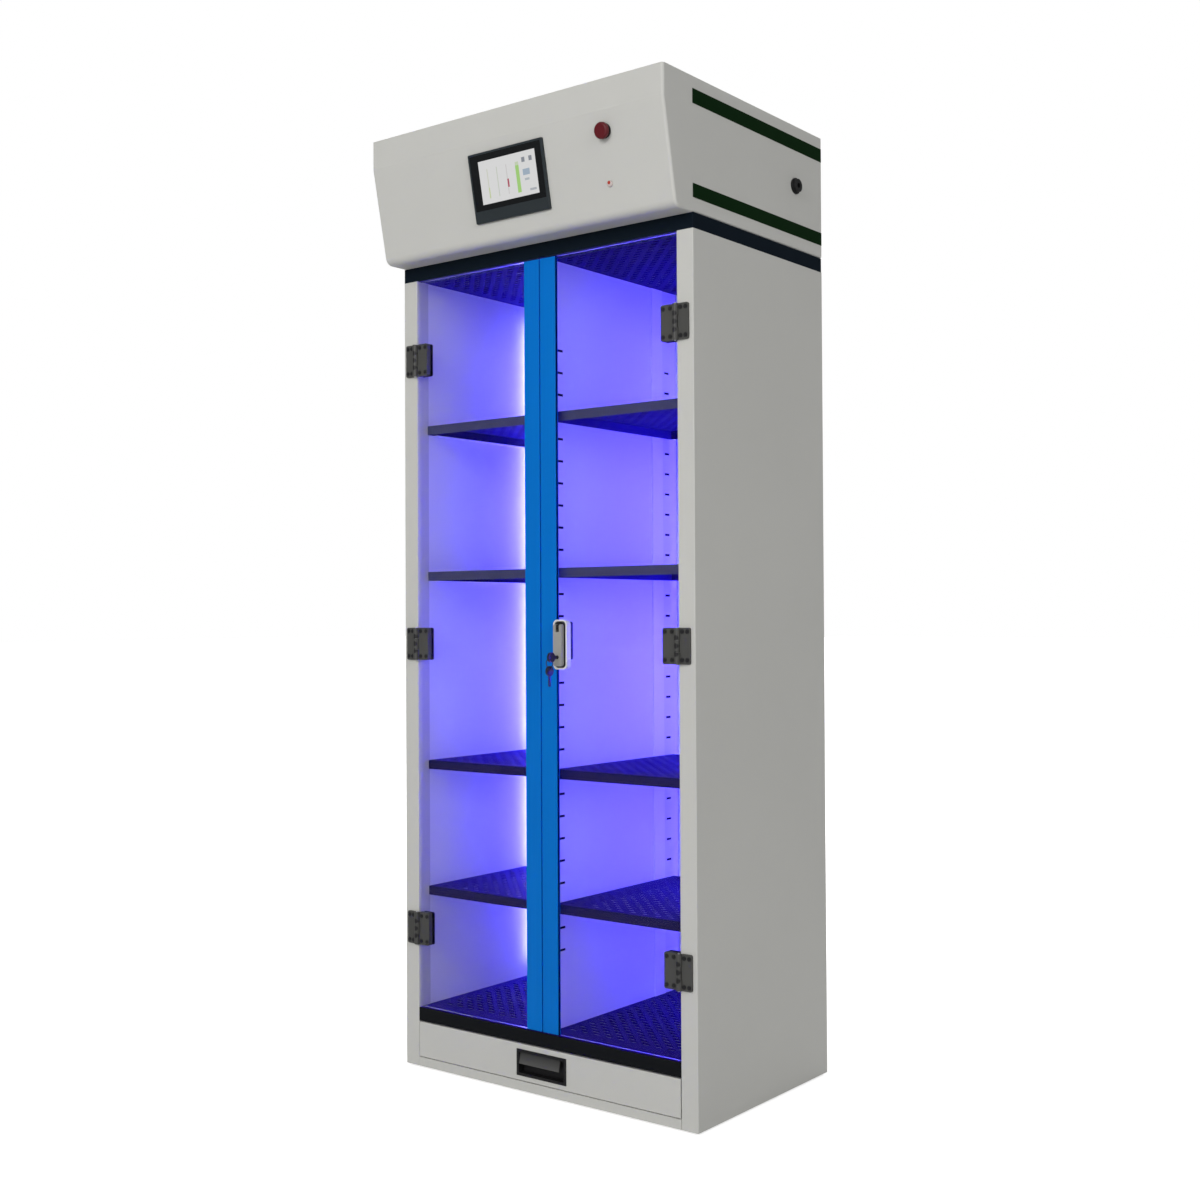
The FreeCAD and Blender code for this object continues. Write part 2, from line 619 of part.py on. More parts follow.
def hood_block(inset, top, tail, half):
    """The solid inside one skin of the hood, rounded where the front meets the sides."""
    face, under, knee, start, middle, end = hood_profile(inset)
    corner = Vector(0, tail, under)
    lid = [Vector(0, tail, top), Vector(0, face, top)]
    edges = [Part.LineSegment(Vector(0, face, knee), start), Part.Arc(start, middle, end)]
    for first, last in ((end, corner), (corner, lid[0]), (lid[0], lid[1]), (lid[1], Vector(0, face, knee))):
        edges.append(Part.LineSegment(first, last))
    block = Part.Face(Part.Wire([edge.toShape() for edge in edges])).extrude(Vector(2 * half, 0, 0))
    block.translate(Vector(-half, 0, 0))
    bends = [edge for edge in block.Edges
             if edge.BoundBox.XLength < 0.01 and edge.BoundBox.YMax < end.y + 0.01
             and edge.BoundBox.ZLength > 1]
    return block.makeFillet(size("bend") - inset, bends)


def hood():
    """One welded shell makes the head's front and both sides, open at the back and on top."""
    half = size("half_width")
    wall = size("sheet")
    outer = hood_block(0.0, size("head_top"), size("back"), half)
    inner = hood_block(wall, size("head_top") + 10, size("back") + 10, half - wall)
    through = (size("collar_top") - 5, size("collar_top") + 3)
    under = flat_box((wall - half, half - wall), (size("front") + 18, size("back") + 10), through)
    shell = outer.cut(inner).cut(under)
    window = tilted(flat_box((-94, 79), (-151, -37), (-9, 9)))
    button = tilted(Part.makeCylinder(11, 18, Vector(252, -40.8, -9)))
    lamp = tilted(Part.makeCylinder(4, 18, Vector(250, -142.7, -9)))
    gland = rod(10, 12, ("half_width - 6", 187, 1939), X)
    keep(cut(shaped(shell), window, button, lamp, gland), "hood_shell")

    inside = "half_width - sheet - 0.5"
    wide = (f"-({inside})", inside)
    rear = slab(wide, ("back - 3.5", "back - 2"), ("collar_top + sheet", "head_top - 3.5"))
    keep(rear, "hood_rear_panel")
    plate = slab(wide, ("front + 18", "back - 4"), ("collar_top", "collar_top + sheet"))
    mouth = slab((-270, 270), (-150, 210), ("collar_top - 1", "collar_top + 3"))
    keep(cut(plate, mouth), "hood_base")

    narrow = (f"-({inside}) + 5", f"{inside} - 5")
    lid = slab(narrow, ("hood_front + 7", "back - 2"), ("head_top - 3.5", "head_top - 2"))
    lips = [slab(narrow, (y, f"{y} + sheet"), ("head_top - 18", "head_top - 3"))
            for y in ("hood_front + 7", "back - 5")]
    outlet = slab((-98, 98), ("fan_y - 98", "fan_y + 98"), ("head_top - 20", "head_top + 1"))
    keep(cut(fuse(lid, *lips), outlet), "hood_top_cover")

    grille = slab((-115, 115), ("fan_y - 115", "fan_y + 115"), ("head_top - 2", "head_top"))
    through = ("head_top - 3", "head_top + 1")
    slots = []
    for middle in (-48, 48):
        for row in range(12):
            low = f"fan_y + {row * 16 - 93}"
            slots.append(slab((middle - 42, middle + 42), (low, f"{low} + 9"), through))
    keep(cut(grille, *slots), "exhaust_grille")

    stripes = []
    for low, high in ((1831, 1859), (2016.5, 2046)):
        stripes.append(slab(("-half_width - 0.5", "-half_width"), ("front", "back"), (low, high)))
    left = group(*stripes)
    keep(group(left, mirror(left)), "side_stripes")


def head_contents():
    """Filter cartridge in its box, the fan that draws through it, and the control box."""
    keep(slab((-279, 279), (-161, 221), ("collar_top + sheet", "filter_top - 40")), "filter_cartridge")
    box = slab((-284, 284), (-166, 226), ("collar_top + sheet", "filter_top"))
    under_lid = ("collar_top", "filter_top - thin")
    hollow = slab(("-284 + thin", "284 - thin"), ("-166 + thin", "226 - thin"), under_lid)
    inlet = rod(94, 10, (0, "fan_y", "filter_top - 5"))
    keep(cut(box, hollow, inlet), "filter_box")

    middle = (0, "fan_y")
    case = slab((-100, 100), ("fan_y - 100", "fan_y + 100"), ("filter_top", "head_top - 3.5"))
    throat = rod(94, 62, (*middle, "filter_top - 1"))
    duct = slab((-97, 97), ("fan_y - 97", "fan_y + 97"), ("filter_top + 60", "head_top"))
    motor = rod(28, 20, (*middle, "filter_top + 5"))
    arms = [slab((-97, 97), ("fan_y - 4", "fan_y + 4"), ("filter_top + 5", "filter_top + 10")),
            slab((-4, 4), ("fan_y - 97", "fan_y + 97"), ("filter_top + 5", "filter_top + 10"))]
    socket = rod(4.05, 12, (*middle, "filter_top + 13.5"))
    keep(cut(fuse(cut(case, throat, duct), motor, *arms), socket), "fan_housing")

    level = size("filter_top") + 26
    centre = Vector(0, size("fan_y"), level)
    hub = Part.makeCylinder(30, 26, centre)
    shaft = Part.makeCylinder(4, 13, centre - Vector(0, 0, 12))
    blade = flat_box((20, 88), (-1.5, 1.5), (-13, 13))
    blade.rotate(Vector(), X, 38)
    blade = blade.common(Part.makeCylinder(88, 40, Vector(0, 0, -20)))
    blades = []
    for turn in range(7):
        copy = blade.copy()
        copy.rotate(Vector(), Z, turn * 360 / 7)
        copy.translate(centre + Vector(0, 0, 13))
        blades.append(copy)
    keep(shaped(hub.multiFuse([shaft] + blades).removeSplitter()), "fan_impeller")

    case = slab((140, 270), (-120, 80), ("filter_top", "filter_top + 70"))
    keep(rounded(case, 3, lambda edge: edge.BoundBox.ZMin > size("filter_top") + 1), "control_box")


def front_controls():
    """Touch panel, stop button and status light on the leaning face, and a cable gland."""
    frame = flat_box((-110, 95), (-166, -22.5), (0, 6))
    frame = frame.makeFillet(3, [edge for edge in frame.Edges if edge.BoundBox.ZLength > 5])
    frame = frame.makeChamfer(1, [edge for edge in frame.Edges if edge.BoundBox.ZMin > 5.9])
    rear = flat_box((-93, 78), (-150, -38), (-38, 0))
    pane = ((-105, 90), (-141, -27))
    pocket = flat_box(*pane, (4, 7))
    keep(tilted(frame.fuse(rear).cut(pocket)), "hmi_case")
    keep(tilted(flat_box(*pane, (4, 5.6))), "hmi_display")

    stop = Vector(252, -40.8, 0)
    ring = Part.makeCylinder(15, 3, stop)
    barrel = Part.makeCylinder(10.9, 34, stop - Vector(0, 0, 32))
    block = flat_box((stop.x - 15, stop.x + 15), (stop.y - 15, stop.y + 15), (-55, -30))
    bore = Part.makeCylinder(5.05, 28, stop - Vector(0, 0, 24))
    keep(tilted(ring.multiFuse([barrel, block]).cut(bore).removeSplitter()), "stop_button_base")
    head = Part.makeCylinder(16.5, 8.5, stop + Vector(0, 0, 7.5))
    head = head.makeFillet(4.5, [edge for edge in head.Edges if edge.BoundBox.ZMin > 15.9])
    stem = Part.makeCylinder(5, 24, stop - Vector(0, 0, 16))
    keep(tilted(head.fuse(stem).removeSplitter()), "stop_button")

    light = Vector(250, -142.7, 0)
    lens = Part.makeCylinder(6.5, 4, light)
    lens = lens.makeFillet(2.5, [edge for edge in lens.Edges if edge.BoundBox.ZMin > 3.9])
    keep(tilted(lens.fuse(Part.makeCylinder(3.9, 22, light - Vector(0, 0, 21)))), "status_led")

    at = ("half_width", 187, 1939)
    flange = rod(17, 4, at, X)
    nut = rod(14, 6.5, ("half_width + 3.5", *at[1:]), X)
    thread = rod(9.9, 16, ("half_width - 14", *at[1:]), X)
    locknut = rod(15, 5, ("half_width - 9", *at[1:]), X)
    through = rod(6, 40, ("half_width - 20", *at[1:]), X)
    keep(cut(fuse(flange, nut, thread, locknut), through), "cable_gland")


def cover_screws():
    """Pan-head screws that hold the rear panels and the top cover."""
    heads = []
    for z in (60, 600, 1180, 1720, 1830, 2040):
        for x in (-385, 0, 385):
            heads.append(rod(4, 2, (x, "back - 2", z), Y))
    for x in (-360, 360):
        for y in ("hood_front + 30", "back - 30"):
            heads.append(rod(4, 2, (x, y, "head_top - 2")))
    keep(group(*heads), "cover_screws")


side_panels()
side_liners()
backs()
base()
decks()
partition()
collar()
shelves()
lamps()
hinges()
door_panels()
handle()
drawer()
hood()
head_contents()
front_controls()
cover_screws()
doc.recompute()

for item in doc.Objects:
    if {"Invalid", "Error"} & set(item.State):
        raise SystemExit(f"{item.Name} did not build: {item.State}")
for piece in nodes:
    if piece.Shape.isNull() or not piece.Shape.isValid():
        raise SystemExit(f"{piece.Label} has no valid shape")

os.makedirs("parts", exist_ok=True)
for piece in nodes:
    piece.Shape.exportStep(f"parts/{piece.Label}.step")
print(len(nodes), "sub-parts written")
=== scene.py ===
import math

import bpy
import numpy as np
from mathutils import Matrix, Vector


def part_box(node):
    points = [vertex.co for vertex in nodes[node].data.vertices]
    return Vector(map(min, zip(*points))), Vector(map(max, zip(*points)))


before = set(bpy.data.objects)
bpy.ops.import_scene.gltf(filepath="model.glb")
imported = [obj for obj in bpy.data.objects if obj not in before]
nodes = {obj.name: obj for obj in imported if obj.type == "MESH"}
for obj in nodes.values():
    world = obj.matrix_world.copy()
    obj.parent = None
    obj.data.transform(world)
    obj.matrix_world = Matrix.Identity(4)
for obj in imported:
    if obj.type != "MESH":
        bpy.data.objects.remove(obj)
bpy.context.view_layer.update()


# ---- Carcass skin ------------------------------------------------------------------------------
# Two sides with their jambs, a screwed back and a bottom pan, all folded from 1.5 mm sheet steel.
# They are powder coated a light warm grey, with the faint orange peel that a cured coat keeps.

def shader_group(name, inputs, outputs):
    """An empty shader group: float sockets, or colour sockets where the default is a 4-tuple."""
    tree = bpy.data.node_groups.new(name, "ShaderNodeTree")
    for label, default in inputs.items():
        kind = "NodeSocketColor" if isinstance(default, tuple) else "NodeSocketFloat"
        tree.interface.new_socket(label, in_out="INPUT", socket_type=kind).default_value = default
    for label, kind in outputs.items():
        tree.interface.new_socket(label, in_out="OUTPUT", socket_type=kind)
    return tree, tree.nodes.new("NodeGroupInput").outputs, tree.nodes.new("NodeGroupOutput").inputs


def feed(tree, socket, source):
    """Link a socket to another one, or set it to a plain value."""
    if isinstance(source, bpy.types.NodeSocket):
        tree.links.new(source, socket)
    else:
        socket.default_value = source


def math_node(tree, operation, first, second=None):
    """One Math node; each operand is a socket or a number."""
    node = tree.nodes.new("ShaderNodeMath")
    node.operation = operation
    feed(tree, node.inputs[0], first)
    if second is not None:
        feed(tree, node.inputs[1], second)
    return node.outputs[0]


def spread(tree, value, low, high, start=0.3, end=0.7):
    """A value stretched from the span start to end onto the span low to high, and clamped."""
    node = tree.nodes.new("ShaderNodeMapRange")
    node.inputs["From Min"].default_value = start
    node.inputs["From Max"].default_value = end
    feed(tree, node.inputs["Value"], value)
    feed(tree, node.inputs["To Min"], low)
    feed(tree, node.inputs["To Max"], high)
    return node.outputs["Result"]


def mottle(tree, where, scale, detail=3.0):
    """The factor of a noise texture, read at a coordinate socket."""
    texture = tree.nodes.new("ShaderNodeTexNoise")
    texture.inputs["Detail"].default_value = detail
    feed(tree, texture.inputs["Scale"], scale)
    tree.links.new(where, texture.inputs["Vector"])
    return texture.outputs["Fac"]


def mixed(tree, amount, first, second):
    """Two colours blended by an amount; each is a socket or a 4-tuple."""
    node = tree.nodes.new("ShaderNodeMix")
    node.data_type = "RGBA"
    for socket, source in zip((node.inputs[0], node.inputs[6], node.inputs[7]), (amount, first, second)):
        feed(tree, socket, source)
    return node.outputs[2]


def places(tree):
    """Object coordinates: the whole vector, and its X, Y and Z."""
    vector = tree.nodes.new("ShaderNodeTexCoord").outputs["Object"]
    split = tree.nodes.new("ShaderNodeSeparateXYZ")
    tree.links.new(vector, split.inputs[0])
    return vector, *split.outputs


# The coat varies a little in tone from place to place, and in gloss in smaller patches.
coat, given, result = shader_group(
    "cured_coat",
    {"Colour": (0.8, 0.8, 0.8, 1.0), "Peel": 900.0, "Tone": 0.03, "Low gloss": 0.46, "High gloss": 0.36},
    {"Colour": "NodeSocketColor", "Roughness": "NodeSocketFloat", "Height": "NodeSocketFloat"})
spot = places(coat)[0]
shade = spread(coat, mottle(coat, spot, 2.2, 4.0), math_node(coat, "SUBTRACT", 1.0, given["Tone"]), 1.0)
tinted = coat.nodes.new("ShaderNodeVectorMath")
tinted.operation = "SCALE"
coat.links.new(given["Colour"], tinted.inputs[0])
coat.links.new(shade, tinted.inputs["Scale"])
coat.links.new(tinted.outputs[0], result["Colour"])
patches = spread(coat, mottle(coat, spot, 14.0, 5.0), given["Low gloss"], given["High gloss"])
coat.links.new(patches, result["Roughness"])
coat.links.new(mottle(coat, spot, given["Peel"], 2.0), result["Height"])


def blank(name):
    """A new material; returns its tree and its shader."""
    material = bpy.data.materials.new(name)
    material.use_nodes = True
    return material.node_tree, material.node_tree.nodes["Principled BSDF"]


def coated(name, colour, peel=900.0, tone=0.03, gloss=(0.46, 0.36), relief=0.00004, shine=0.5, metal=0.0):
    """A coated or moulded surface; returns its tree, its shader and the socket of its colour.

    Peel is the texture's scale and relief its depth in metres; gloss gives two roughnesses.
    """
    tree, shader = blank(name)
    group = tree.nodes.new("ShaderNodeGroup")
    group.node_tree = coat
    group.inputs["Colour"].default_value = (*colour, 1.0)
    group.inputs["Peel"].default_value = peel
    group.inputs["Tone"].default_value = tone
    group.inputs["Low gloss"].default_value = gloss[0]
    group.inputs["High gloss"].default_value = gloss[1]
    tree.links.new(group.outputs["Colour"], shader.inputs["Base Color"])
    tree.links.new(group.outputs["Roughness"], shader.inputs["Roughness"])
    bump = tree.nodes.new("ShaderNodeBump")
    bump.inputs["Distance"].default_value = relief
    bump.inputs["Strength"].default_value = 0.6
    tree.links.new(group.outputs["Height"], bump.inputs["Height"])
    tree.links.new(bump.outputs["Normal"], shader.inputs["Normal"])
    shader.inputs["Specular IOR Level"].default_value = shine
    shader.inputs["Metallic"].default_value = metal
    return tree, shader, group.outputs["Colour"]


def dress(material_name, *node_names):
    """Give CAD nodes one material."""
    for node_name in node_names:
        slots = nodes[node_name].data.materials
        slots.clear()
        slots.append(bpy.data.materials[material_name])


coated("warm grey coat", (0.60, 0.60, 0.572), shine=0.3)
dress("warm grey coat", "side_panel_left", "side_panel_right", "rear_panel", "base_pan")


# ---- Feet --------------------------------------------------------------------------------------
# Four black rubber pads on threaded steel studs level the cabinet. Each stud passes through the
# bottom pan and is locked by a nut.

def past(tree, place, edge, fade=0.0005):
    """A mask that rises from zero at an edge to one just past it."""
    return spread(tree, place, 0.0, 1.0, edge, edge + fade)


def short_of(tree, place, edge, fade=0.0005):
    """A mask that is one up to an edge and falls to zero just past it."""
    return spread(tree, place, 1.0, 0.0, edge, edge + fade)


pad_height = 0.004
tree, shader, rubber = coated("foot rubber", (0.03, 0.03, 0.032), 400.0, 0.2, (0.8, 0.6), 0.0002)
above_pad = past(tree, places(tree)[3], pad_height)
tree.links.new(mixed(tree, above_pad, rubber, (0.5, 0.5, 0.52, 1.0)), shader.inputs["Base Color"])
tree.links.new(above_pad, shader.inputs["Metallic"])
dress("foot rubber", "levelling_feet")


# ---- Compartment walls -------------------------------------------------------------------------
# White coated liners stand behind the jambs. The hollow partition between the compartments is
# pierced by two ladders of shelf slots, their insides painted dark as shade, and carries a light
# strip over its wiring.

def from_middle(tree, place, low, high):
    """How far a place is from halfway between two others."""
    return math_node(tree, "ABSOLUTE", math_node(tree, "SUBTRACT", place, (low + high) / 2))


WHITE = (0.80, 0.80, 0.80)
coated("white liner coat", WHITE, gloss=(0.55, 0.45), shine=0.3)
dress("white liner coat", "side_liner_left", "side_liner_right", "rear_liner")
tree, shader, white = coated("white partition coat", WHITE, gloss=(0.55, 0.45), shine=0.3)
_, x_place, y_place, _ = places(tree)
wall_low, wall_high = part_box("centre_partition")
# Inside the slots, short of the partition's outer faces, the coat is painted near black as shade.
face_not_slot_shade = 0.0
for place, start, end in ((x_place, wall_low.x, wall_high.x), (y_place, wall_low.y, wall_high.y)):
    away = from_middle(tree, place, start, end)
    on_face = past(tree, away, (end - start) / 2 - 0.0007, 0.0006)
    face_not_slot_shade = math_node(tree, "MAXIMUM", face_not_slot_shade, on_face)
tree.links.new(mixed(tree, face_not_slot_shade, (0.004, 0.002, 0.02, 1.0), white), shader.inputs["Base Color"])
dress("white partition coat", "centre_partition")
coated("light strip coat", (0.90, 0.90, 0.90), gloss=(0.4, 0.3))
dress("light strip coat", "wiring_cover", "shelf_cleats")


# ---- Shelves, floor and ceiling ----------------------------------------------------------------
# Perforated steel decks, dark, with the violet of the lamps painted into their coat as indigo. The
# shelf trays rest on ledges outside, hook into the partition, and have a plain front lip, painted
# slate blue as light on the upper two pairs and darker as shade on the lower two. The floor panel
# folds down as a black sill.

def deck_coat(name, front, lip_tone_and_light):
    """The coat of a deck, dark with the violet lamp light painted in as indigo, and another colour on the
    lip that faces the front: painted light on the upper shelves, painted shade on the lower ones, and the
    sill's own black on the floor.
    """
    # The violet of the lamps is painted into the dark coat as indigo.
    tree, shader, violet_lit_indigo = coated(name, (0.022, 0.008, 0.155), 700.0, 0.08, (0.7, 0.6), shine=0.05)
    behind_lip = past(tree, places(tree)[2], front + 0.0015)
    tree.links.new(mixed(tree, behind_lip, lip_tone_and_light, violet_lit_indigo), shader.inputs["Base Color"])


both_sides = ("left", "right")
# The lips of the upper shelves and the ceiling are painted slate blue as light from the front; those of
# the lower shelves darker, as shade.
deck_coat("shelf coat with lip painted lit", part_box("shelf_left_1")[0].y, (0.062, 0.064, 0.150, 1.0))
dress("shelf coat with lip painted lit", "ceiling_panel", *(f"shelf_{side}_{n}" for side in both_sides for n in (1, 2)))
deck_coat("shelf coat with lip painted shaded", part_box("shelf_left_4")[0].y, (0.016, 0.012, 0.085, 1.0))
dress("shelf coat with lip painted shaded", *(f"shelf_{side}_{n}" for side in both_sides for n in (3, 4)))
deck_coat("floor coat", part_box("floor_panel")[0].y, (0.008, 0.009, 0.011, 1.0))
dress("floor coat", "floor_panel")


# ---- Lamps -------------------------------------------------------------------------------------
# A slim discharge tube stands in the rear outer corner of either compartment, between a pair of
# white pin sockets. Its ends are capped with aluminium, and it fills the compartment with violet.

def all_of(tree, mask, *others):
    """The product of several masks, which is one only where every one of them is."""
    for other in others:
        mask = math_node(tree, "MULTIPLY", mask, other)
    return mask


VIOLET = (0.045, 0.018, 1.0)
cap_length = 0.0125
tree, shader = blank("lit tube")
level = places(tree)[3]
low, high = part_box("uv_tubes")
over_cap = past(tree, level, low.z + cap_length)
under_cap = short_of(tree, level, high.z - cap_length - 0.0005)
lit = all_of(tree, over_cap, under_cap)
glass_colour = mixed(tree, lit, (0.7, 0.7, 0.72, 1.0), (0.6, 0.6, 0.9, 1.0))
tree.links.new(glass_colour, shader.inputs["Base Color"])
glow_colour = mixed(tree, lit, (0.0, 0.0, 0.0, 1.0), (0.42, 0.40, 1.0, 1.0))
tree.links.new(glow_colour, shader.inputs["Emission Color"])
shader.inputs["Emission Strength"].default_value = 4.0
shader.inputs["Roughness"].default_value = 0.25
dress("lit tube", "uv_tubes")
coated("socket plastic", (0.75, 0.75, 0.75), 300.0)
dress("socket plastic", "lamp_holders")


def lamp(name, energy, colour, location, aim, width, height):
    """A rectangular light at a place, turned so that its -Z axis points at an aim."""
    light = bpy.data.lights.new(name, "AREA")
    light.energy = energy
    light.color = colour
    light.shape = "RECTANGLE"
    light.size = width
    light.size_y = height
    holder = bpy.data.objects.new(name, light)
    bpy.context.scene.collection.objects.link(holder)
    holder.location = location
    across, along, up = np.subtract(aim, location)
    tip = math.atan2(math.hypot(across, along), -up)
    holder.rotation_euler = (tip, 0.0, math.atan2(along, across) - math.pi / 2)


# Two lights carry what either tube gives: a violet strip just in front of it, turned towards the
# middle of the compartment, and a weak, paler and taller one that grazes the side wall.
PALE_VIOLET = (0.40, 0.42, 1.0)
middle = (low.z + high.z) / 2
wall_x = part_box("side_liner_right")[0].x
tube_length = high.z - low.z
glow_length = 1.56
for side, power, spill in ((-1, 18.0, 1.1), (1, 15.0, 0.3)):
    x = side * (high.x - 0.02)
    before_tube = (x, low.y - 0.004, middle)
    lamp("violet strip", power, VIOLET, before_tube, (x * 0.3, low.y - 0.3, middle), 0.02, tube_length)
    off_wall = (side * (wall_x - 0.022), low.y - 0.075, middle)
    on_wall = (side * wall_x, low.y - 0.080, middle)
    lamp("wall glow", spill, PALE_VIOLET, off_wall, on_wall, 0.01, glow_length)


# ---- Collar ------------------------------------------------------------------------------------
# A band of four folded bars, welded at the corners and coated black slate, spaces the head off
# the carcass.

coated("black coat", (0.004, 0.009, 0.016), 700.0, 0.06, (0.6, 0.5), shine=0.05)
dress("black coat", "top_collar")


# ---- Head --------------------------------------------------------------------------------------
# One welded shell, coated like the sides; the lid, its slotted outlet and the back are screwed on.
# Two dark green stripes run along either side.

dress("warm grey coat", "hood_shell", "hood_top_cover", "hood_rear_panel", "exhaust_grille")
coated("green stripe", (0.001, 0.018, 0.002), 500.0, 0.1, (0.6, 0.5), shine=0.06)
dress("green stripe", "side_stripes")


def zinc_plated(name, colour, spangle):
    """Zinc-plated steel: metal whose tone changes from one crystal to the next."""
    tree, shader, plain = coated(name, colour, 120.0, 0.1, (0.42, 0.28), 0.00002, metal=1.0)
    cells = tree.nodes.new("ShaderNodeTexVoronoi")
    cells.inputs["Scale"].default_value = spangle
    tree.links.new(places(tree)[0], cells.inputs["Vector"])
    grey = tree.nodes.new("ShaderNodeRGBToBW")
    tree.links.new(cells.outputs["Color"], grey.inputs[0])
    crystal = spread(tree, grey.outputs[0], 0.0, 1.0)
    tree.links.new(mixed(tree, crystal, plain, (0.63, 0.64, 0.66, 1.0)), shader.inputs["Base Color"])


zinc_plated("zinc sheet", (0.52, 0.53, 0.55), 60.0)
dress("zinc sheet", "hood_base", "filter_box", "drawer_rails", "drawer_slides", "drawer_tray")
zinc_plated("zinc screw", (0.60, 0.60, 0.60), 400.0)
dress("zinc screw", "cover_screws", "hinge_pins", "lock_cam")


# ---- Inside the head ---------------------------------------------------------------------------
# A pleated filter cartridge in its steel box, an axial fan in a moulded housing that draws through
# it, and a plastic control box beside them.

tree, shader, felt = coated("filter felt", (0.05, 0.05, 0.05), 250.0, 0.4, (0.95, 0.8), 0.0006, shine=0.2)
# The felt is painted in stripes along the pleats: paler on the crests as light, darker between them as
# shade.
pleat = 0.006
pleats = math_node(tree, "SINE", math_node(tree, "MULTIPLY", places(tree)[1], 2 * math.pi / pleat))
pleat_light_and_shade = spread(tree, pleats, 0.0, 1.0, -1.0, 1.0)
tree.links.new(mixed(tree, pleat_light_and_shade, felt, (0.16, 0.16, 0.15, 1.0)), shader.inputs["Base Color"])
dress("filter felt", "filter_cartridge")
coated("fan plastic", (0.02, 0.02, 0.02), 400.0, 0.2)
dress("fan plastic", "fan_housing", "fan_impeller")
coated("box plastic", (0.35, 0.36, 0.37), 300.0, 0.05)
dress("box plastic", "control_box")


# ---- Touch panel -------------------------------------------------------------------------------
# A slate plastic bezel clamps into the leaning face around a black glass pane. A seven-inch
# picture is lit behind the pane: thin level lines, a green bar and a few plain marks, no words.

coated("panel plastic", (0.022, 0.030, 0.035), 500.0, 0.15, (0.55, 0.4), shine=0.3)
dress("panel plastic", "hmi_case")

bar_group, given, result = shader_group(
    "screen_bar", {"Across": 0.0, "Up": 0.0, "Left": 0.0, "Right": 1.0, "Bottom": 0.0, "Top": 1.0},
    {"Mask": "NodeSocketFloat"})
sides = []
for value, first, last in (("Across", "Left", "Right"), ("Up", "Bottom", "Top")):
    sides.append(math_node(bar_group, "GREATER_THAN", given[value], given[first]))
    sides.append(math_node(bar_group, "LESS_THAN", given[value], given[last]))
bar_group.links.new(all_of(bar_group, *sides), result["Mask"])

# The picture lies inside the pane's black border. Across and up run from 0 to 1 over it, and on
# to one width and one height past its edges.
tree, shader = blank("lit screen")
_, x_place, _, z_place = places(tree)
pane_low, pane_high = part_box("hmi_display")
left_edge, right_edge = pane_low.x + 0.022, pane_high.x - 0.017
low_edge, top_edge = pane_low.z + 0.0115, pane_high.z - 0.0137
across = spread(tree, x_place, -1.0, 2.0, 2 * left_edge - right_edge, 2 * right_edge - left_edge)
up = spread(tree, z_place, -1.0, 2.0, 2 * low_edge - top_edge, 2 * top_edge - low_edge)


def screen_bar(left, right, bottom, top):
    """A mask that is one inside a rectangle of the picture, whose sides run from 0 to 1."""
    group = tree.nodes.new("ShaderNodeGroup")
    group.node_tree = bar_group
    tree.links.new(across, group.inputs["Across"])
    tree.links.new(up, group.inputs["Up"])
    for label, value in (("Left", left), ("Right", right), ("Bottom", bottom), ("Top", top)):
        group.inputs[label].default_value = value
    return group.outputs["Mask"]


picture = (0.72, 0.72, 0.72, 1.0)
for left, right, bottom, top, colour in (
        (0.135, 0.150, 0.12, 0.80, (0.60, 0.62, 0.52, 1.0)),
        (0.140, 0.155, 0.12, 0.36, (0.50, 0.60, 0.25, 1.0)),
        (0.305, 0.320, 0.12, 0.80, (0.56, 0.60, 0.52, 1.0)),
        (0.475, 0.490, 0.12, 0.80, (0.60, 0.58, 0.58, 1.0)),
        (0.478, 0.506, 0.28, 0.47, (0.42, 0.05, 0.09, 1.0)),
        (0.640, 0.700, 0.10, 0.72, (0.34, 0.62, 0.16, 1.0)),
        (0.640, 0.700, 0.72, 0.80, (0.55, 0.64, 0.45, 1.0)),
        (0.760, 0.815, 0.76, 0.87, (0.22, 0.24, 0.28, 1.0)),
        (0.885, 0.940, 0.76, 0.87, (0.22, 0.24, 0.28, 1.0)),
        (0.760, 0.880, 0.46, 0.60, (0.33, 0.42, 0.52, 1.0)),
        (0.780, 0.860, 0.34, 0.39, (0.42, 0.47, 0.50, 1.0)),
        (0.850, 0.960, 0.09, 0.14, (0.40, 0.42, 0.46, 1.0))):
    picture = mixed(tree, screen_bar(left, right, bottom, top), picture, colour)
lit = screen_bar(0.0, 1.0, 0.0, 1.0)
tree.links.new(mixed(tree, lit, (0.0, 0.0, 0.0, 1.0), picture), shader.inputs["Emission Color"])
shader.inputs["Emission Strength"].default_value = 0.85
behind_glass = mixed(tree, lit, (0.004, 0.005, 0.006, 1.0), (0.05, 0.05, 0.05, 1.0))
tree.links.new(behind_glass, shader.inputs["Base Color"])
smear = mottle(tree, places(tree)[0], 60.0, 4.0)
tree.links.new(spread(tree, smear, 0.06, 0.14), shader.inputs["Roughness"])
shader.inputs["Specular IOR Level"].default_value = 0.35
dress("lit screen", "hmi_display")


# ---- Stop button, status light and cable gland -------------------------------------------------
# A red mushroom button on a black collar, a small red lens in a pale bezel below it, and a black
# nylon gland screwed through the right side.

def distance(tree, across, above):
    """The length of an offset, by Pythagoras."""
    squares = [math_node(tree, "POWER", offset, 2.0) for offset in (across, above)]
    return math_node(tree, "SQRT", math_node(tree, "ADD", *squares))


